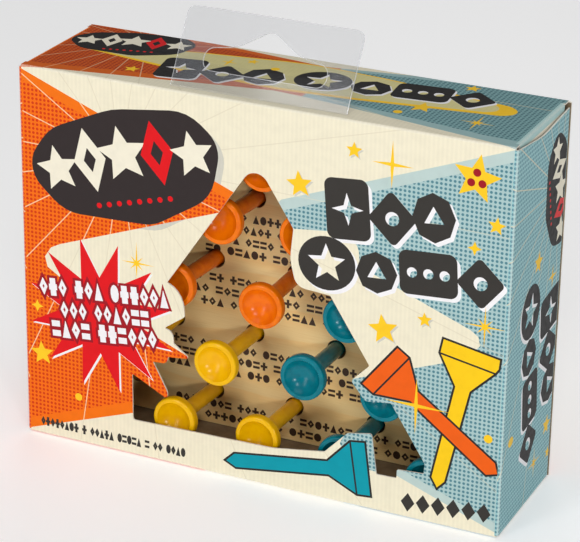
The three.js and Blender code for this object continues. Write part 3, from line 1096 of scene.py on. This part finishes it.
def film_material(name, colour, alpha):
    """Clear plastic sheet. Light passes both of its faces, so each veils only half as much."""
    shader = Shader(name)
    place = shader.place()
    scratch = shader.noise(shader.stretch(place, 0.15, 2.5, 2.5), 1.0, 4.0)
    wave = shader.noise(shader.stretch(place, 0.03, 0.06, 0.06), 1.0, 1.0)
    tone = linear(*colour)
    shader.bump(wave, 0.1, 0.1 * MM)
    return shader.finish(
        Base_Color=shader.mix(shader.ramp(scratch, 0.4, 0.8), tone, tinted(tone, 0.8)),
        Roughness=shader.ramp(scratch, 0.3, 0.9, 0.05, 0.12), IOR=2.0, Alpha=alpha,
        Specular_IOR_Level=1.0,
    )


def hang_tab():
    """Clear film stuck to the top, creased near the front and standing up behind the crease."""
    low, high = box_of("hang_tab_base")
    middle, half = (low.x + high.x) / 2, (high.x - low.x) / 2
    direction = Vector((math.sin(TAB_LEAN), math.cos(TAB_LEAN)))
    hinge = Vector((low.y - TAB_HINGE_AHEAD, high.z + TAB_HINGE_UP))
    face = hinge + Vector((-direction.y, direction.x)) * (FILM / 2)
    crease = face - direction * ((face.y - low.z) / direction.y)
    tip = face + direction * TAB_HEIGHT
    run = Run([(high.y, low.z), crease, tip], 0, 1, FILM_BEND)
    stuck, length = run.stops[1], run.stops[2]
    top_corners = [(half, length, TAB_CORNER), (-half, length, TAB_CORNER)]
    outline = rounded([(-half, 0, 1), (half, 0, 1), *top_corners])
    flap = rounded([(-half, stuck, 0), (half, stuck, 0), *top_corners])
    hole = rounded([(x, length - TAB_HEIGHT + z, radius) for x, z, radius in HANG_HOLE])
    layers = [
        layer("film_bonded", box(-half - 1, -1, half + 1, stuck - 0.3)),
        layer("film_rim", flap, [grown(flap, -RIM)]),
        layer("film_rim", grown(hole, RIM), [hole]),
    ]
    inner = {"film": "film", "film_rim": "film", "film_bonded": "film_bonded"}
    edge = {"film": "film_rim", "film_rim": "film_rim", "film_bonded": "film_bonded"}
    piece = folded("hang_tab_film", layer("film", outline, [hole]), layers, run, X,
                   shift=middle, thickness=FILM, inner=inner, edge=edge)
    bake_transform(piece)
    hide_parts("hang_tab_base", "hang_tab_flap")


# ---------------- board


def pine_material(name, colour, late):
    shader = Shader(name)
    place = shader.place()
    drift = shader.noise(shader.stretch(place, 0.012, 0.05, 0.05), 1.0, 2.0)
    wave = shader.math("ADD", shader.parts(place)["Z"], shader.times(drift, 26.0))
    ring = shader.math("FRACT", shader.math("DIVIDE", wave, 9.0))
    band = shader.times(shader.ramp(ring, 0.15, 0.85), shader.ramp(ring, 1.0, 0.88))
    fibre = shader.noise(shader.stretch(place, 0.08, 2.0, 3.2), 1.0, 5.0, 0.65)
    cloud = shader.noise(shader.stretch(place, 0.03, 0.06, 0.06), 1.0, 3.0)
    result = shader.mix(shader.times(band, 0.42), linear(*colour), linear(*late))
    streak = shader.ramp(fibre, 0.45, 0.75, 0.0, 0.28)
    result = shader.mix(streak, result, tinted(linear(*late), 0.72))
    warm = tinted(linear(*colour), (0.96, 0.88, 0.74))
    result = shader.mix(shader.ramp(cloud, 0.45, 0.8, 0.0, 0.5), result, warm)
    shader.bump(fibre, 0.25, 0.06 * MM)
    return shader.finish(Base_Color=result, Roughness=shader.ramp(fibre, 0.2, 0.9, 0.5, 0.68))


def hole_centres():
    """Row, place and centre of each hole, from the apex down."""
    lowest = BOARD_LOW.z + HOLE_MARGIN
    rows = len(PEG_ROWS)
    for row in range(rows):
        for place in range(row + 1):
            yield row, place, (place - row / 2) * HOLE_PITCH, lowest + (rows - 1 - row) * HOLE_RISE


def board_lines():
    """Rows of small signs printed between the holes."""
    lines = [
        (70.2, 56, (5, 4, 3, 6, 3)), (66.4, 62, (3, 6, 2, 3, 5, 4)), (62.5, 66, (6, 4, 3, 5, 2, 4)),
        (58.8, 60, (2, 5, 4, 3, 6)),
        (49.4, 76, (3, 2, 5, 4, 4, 3, 5)), (45.4, 84, (5, 3, 4, 2, 6, 3, 4)),
        (41.4, 88, (4, 3, 5, 5, 2, 6, 4)),
        (27.2, 92, (5, 4, 3, 4, 3, 5, 2, 6)), (23.3, 96, (6, 3, 5, 3, 4, 4, 2, 6)),
        (19.4, 90, (4, 6, 3, 3, 5, 4, 6)),
        (7.6, 80, (3, 4, 4, 3, 7, 4, 3)), (3.6, 86, (4, 7, 2, 4, 6, 5)),
    ]
    for number, (z, length, words) in enumerate(lines):
        yield from marks(-length / 2, z, length, 2.7, 0, words, number, 0.88, 0.8)


def play_board():
    """The pine triangle with its blind holes and printed lines."""
    slope = math.atan2(4 * HOLE_RISE, 2 * HOLE_PITCH)
    base = 2 * HOLE_PITCH + HOLE_MARGIN / math.tan(slope / 2)
    apex = BOARD_LOW.z + HOLE_MARGIN + 4 * HOLE_RISE + HOLE_MARGIN / math.cos(slope)
    outline = rounded([
        (-base, BOARD_LOW.z, BOARD_CORNER), (base, BOARD_LOW.z, BOARD_CORNER),
        (0, apex, BOARD_CORNER),
    ])
    circles = [disc(x, z, HOLE_RADIUS, sides=32) for _, _, x, z in hole_centres()]
    art = [layer("board_ink", *shape) for shape in board_lines()]
    flat, triangles = cut_flat(layer("pine", outline, circles), art)
    front, back, floor = BOARD_LOW.y, BOARD_HIGH.y, BOARD_LOW.y + HOLE_DEPTH
    points = [Vector((p.x, front, p.y)) for p in flat]
    faces = [corners for corners, _ in triangles]
    inks = [ink_name for _, ink_name in triangles]
    follows = dict(open_sides(faces).keys())
    while follows:
        loop = [next(iter(follows))]
        while loop[-1] in follows:
            loop.append(follows.pop(loop[-1]))
        loop.pop()
        wide = max(flat[n].x for n in loop) - min(flat[n].x for n in loop)
        # The holes' walls and floors take a darker pine: painted shade in the holes.
        depth, kind = (back, "pine") if wide > 4 * HOLE_RADIUS else (floor, "pine_end")
        inner = list(range(len(points), len(points) + len(loop)))
        points += [Vector((flat[n].x, depth, flat[n].y)) for n in loop]
        for (start, end), (below, beside) in zip(pairs(loop), pairs(inner)):
            faces.append((end, start, below, beside))
        faces.append(inner[::-1])
        inks += [kind] * (len(loop) + 1)
    piece = built("play_board_pine", [point * MM for point in points], faces, inks, WOODS)
    piece.data.set_sharp_from_angle(angle=math.radians(35))
    bevel = piece.modifiers.new("eased_edges", "BEVEL")
    bevel.width, bevel.segments = 0.35 * MM, 2
    bevel.limit_method, bevel.angle_limit = "ANGLE", math.radians(60)
    bevel.harden_normals = False
    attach(piece, "board")
    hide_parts("play_board")


# ---------------- pegs


def plastic(name, colour, deep):
    """Glossy moulded plastic with faint flow marks and settled dust."""
    shader = Shader(name)
    place = shader.place()
    flow = shader.noise(place, 0.35, 2.0)
    result = shader.mix(shader.ramp(flow, 0.35, 0.7), linear(*colour), linear(*deep))
    grain = shader.noise(place, 6.0, 2.0)
    shader.bump(grain, 0.08, 0.02 * MM)
    return shader.finish(
        Base_Color=result,
        Roughness=shader.ramp(flow, 0.2, 0.8, 0.16, 0.26),
        Specular_IOR_Level=0.22,
        Subsurface_Weight=0.04,
        Subsurface_Radius=(1.2 * MM, 0.8 * MM, 0.4 * MM),
        Subsurface_Scale=1.0,
    )


def peg_profile():
    """Half section from the middle of the cup, over the rim, to the tip: radius, distance."""
    cup_radius, cup_depth = 5.5, 3.3
    bowl = (cup_radius ** 2 + cup_depth ** 2) / (2 * cup_depth)
    spread = math.asin(cup_radius / bowl)
    profile = []
    for step in range(15):
        angle = spread * step / 14
        profile.append((bowl * math.sin(angle), cup_depth - bowl * (1 - math.cos(angle))))
    profile += [(5.75, 0.04), (6.0, 0.0), (6.35, 0.02), (6.65, 0.14), (6.84, 0.4), (6.9, 0.8)]
    profile += [(6.9, 2.2), (6.86, 2.5), (6.7, 2.75)]
    flare = ((6.1, 3.35), (5.2, 4.35), (4.3, 5.45), (3.6, 6.55), (3.05, 7.6), (2.7, 8.6))
    profile += flare
    length = PEG_STAND + PEG_SUNK
    profile += [(2.45, 9.9), (2.4, 11.5), (2.4, length - 1.4), (2.25, length - 0.8)]
    profile += [(1.6, length - 0.2), (1.0, length)]
    return profile


def peg(name, colour, pivot, axis):
    """A peg turned about its axis, which points from the hole towards its head."""
    sides, profile = 56, peg_profile()
    arm = PEG_STAND + HOLE_DEPTH / 2
    tilt = Vector((0, -1, 0)).rotation_difference(axis)
    rim = pivot + axis * arm
    points = []
    for radius, distance in profile:
        for step in range(sides if radius else 1):
            angle = 2 * math.pi * step / sides
            local = Vector((radius * math.cos(angle), distance, radius * math.sin(angle)))
            points.append((rim + tilt @ local) * MM)
    faces = []
    for step in range(sides):
        ahead = (step + 1) % sides
        faces.append((0, 1 + step, 1 + ahead))
        for ring in range(len(profile) - 2):
            near, far = 1 + ring * sides, 1 + (ring + 1) * sides
            faces.append((near + step, far + step, far + ahead, near + ahead))
    last = 1 + (len(profile) - 2) * sides
    faces.append(tuple(last + step for step in range(sides)))
    piece = built(f"{name}_turned", points, faces, [colour] * len(faces), PLASTICS)
    piece.data.set_sharp_from_angle(angle=math.radians(50))
    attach(piece, name)
    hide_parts(name)


def pegs():
    axis_of = {joint["child"]: Vector(joint["axis"]) for joint in frame["joints"]}
    count = {"orange": 0, "yellow": 0, "teal": 0}
    for row, place, x, z in hole_centres():
        colour = PEG_ROWS[row][place]
        if colour is None:
            continue
        count[colour] += 1
        name = f"{colour}_peg_{count[colour]}"
        pivot = Vector((x, BOARD_LOW.y + HOLE_DEPTH / 2, z))
        peg(name, colour, pivot, axis_of[name].normalized())


# ---------------- stage


def add_camera():
    """The photographer's view: from the right and above, with a long lens."""
    camera = linked("camera", bpy.data.cameras.new("camera"))
    camera.data.lens = 156.35
    camera.data.sensor_width = 36
    camera.data.clip_start, camera.data.clip_end = 0.05, 50
    look = Vector((-0.37987, 0.83691, -0.39405)).normalized()
    right = Vector((0.90778, 0.41917, 0.01516)).normalized()
    up = right.cross(look).normalized()
    turn = Matrix((right, up, -look)).transposed().to_4x4()
    camera.matrix_world = Matrix.Translation((0.2786, -0.6122, 0.3474)) @ turn
    bpy.context.scene.camera = camera


# Name, azimuth, elevation, distance in metres, width, height, power.
LIGHTS = [
    ("soft_box_left", -20, 18.5, 1.4, 0.385, 1.036, 4.4),
    ("strip_left", -22, 3, 1.35, 0.08, 0.26, 0.8),
    ("spot_right", 40, 13, 1.5, 0.13, 0.13, 4.6),
    ("front_key", 25, 38, 1.7, 0.35, 0.3, 5.4),
    ("overhead", 10, 80, 1.5, 1.0, 1.0, 4.5),
    ("back_fill", 190, 52, 1.6, 0.8, 0.6, 3.6),
]


def add_light(name, azimuth, elevation, distance, width, height, power):
    """A soft box aimed at the middle of the carton. Azimuth turns from the front to the right."""
    target = Vector((0, 0, HEIGHT / 2)) * MM
    turn, rise = math.radians(azimuth), math.radians(elevation)
    back = Vector((
        math.sin(turn) * math.cos(rise), -math.cos(turn) * math.cos(rise), math.sin(rise),
    ))
    lamp = linked(name, bpy.data.lights.new(name, "AREA"))
    lamp.data.shape = "RECTANGLE"
    lamp.data.size, lamp.data.size_y = width, height
    lamp.data.energy = power
    lamp.location = target + back * distance
    lamp.rotation_mode = "QUATERNION"
    lamp.rotation_quaternion = (-back).to_track_quat("-Z", "Y")


def add_stage():
    """A plain pale floor, a soft room and the lights."""
    shader = Shader("floor_paint")
    tone = shader.noise(shader.place(), 0.003)
    result = shader.mix(tone, linear(250, 250, 250), linear(244, 244, 245))
    material = shader.finish(
        Base_Color=result, Roughness=0.9, Specular_IOR_Level=0.1,
        Emission_Color=(1, 1, 1, 1), Emission_Strength=0.25,
    )
    reach = 9.0
    corners = [(-reach, -reach, 0), (reach, -reach, 0), (reach, reach, 0), (-reach, reach, 0)]
    floor = built("floor", corners, [(0, 1, 2, 3)], ["paint"], {"paint": material})
    floor.location.z = -0.0002
    world = bpy.data.worlds.new("room")
    world.use_nodes = True
    sky = world.node_tree.nodes["Background"]
    sky.inputs["Color"].default_value = (1.0, 1.0, 1.0, 1.0)
    sky.inputs["Strength"].default_value = 0.16
    bpy.context.scene.world = world
    for light in LIGHTS:
        add_light(*light)
    bpy.context.scene.view_settings.view_transform = "Standard"


# ---------------- assembly

INKS["film"] = film_material("film", (170, 173, 180), 0.12)
INKS["film_bonded"] = film_material("film_bonded", (170, 173, 180), 0.03)
INKS["film_rim"] = film_material("film_rim", (236, 238, 242), 0.55)
WOODS = {
    "pine": pine_material("pine", (255, 223, 158), (253, 200, 118)),
    # a darker pine for the holes: painted shade
    "pine_end": pine_material("pine_end", (176, 130, 76), (140, 96, 52)),
    "board_ink": pine_material("board_ink", (70, 46, 28), (54, 34, 20)),
}
PLASTICS = {
    "orange": plastic("orange_plastic", (238, 118, 2), (228, 104, 2)),
    "yellow": plastic("yellow_plastic", (240, 186, 2), (234, 176, 2)),
    "teal": plastic("teal_plastic", (0, 120, 134), (0, 108, 122)),
}

add_camera()
add_stage()
sleeve()
for side, name, main in ((1, "right", "end_blue"), (-1, "left", "orange")):
    end_panel(side, name, main, f"{main}_dots")
    tuck_flap(side, name, main)
    for level, where in ((1, "top"), (-1, "bottom")):
        dust_flap(side, level, f"{name}_{where}", main)
hang_tab()
play_board()
pegs()
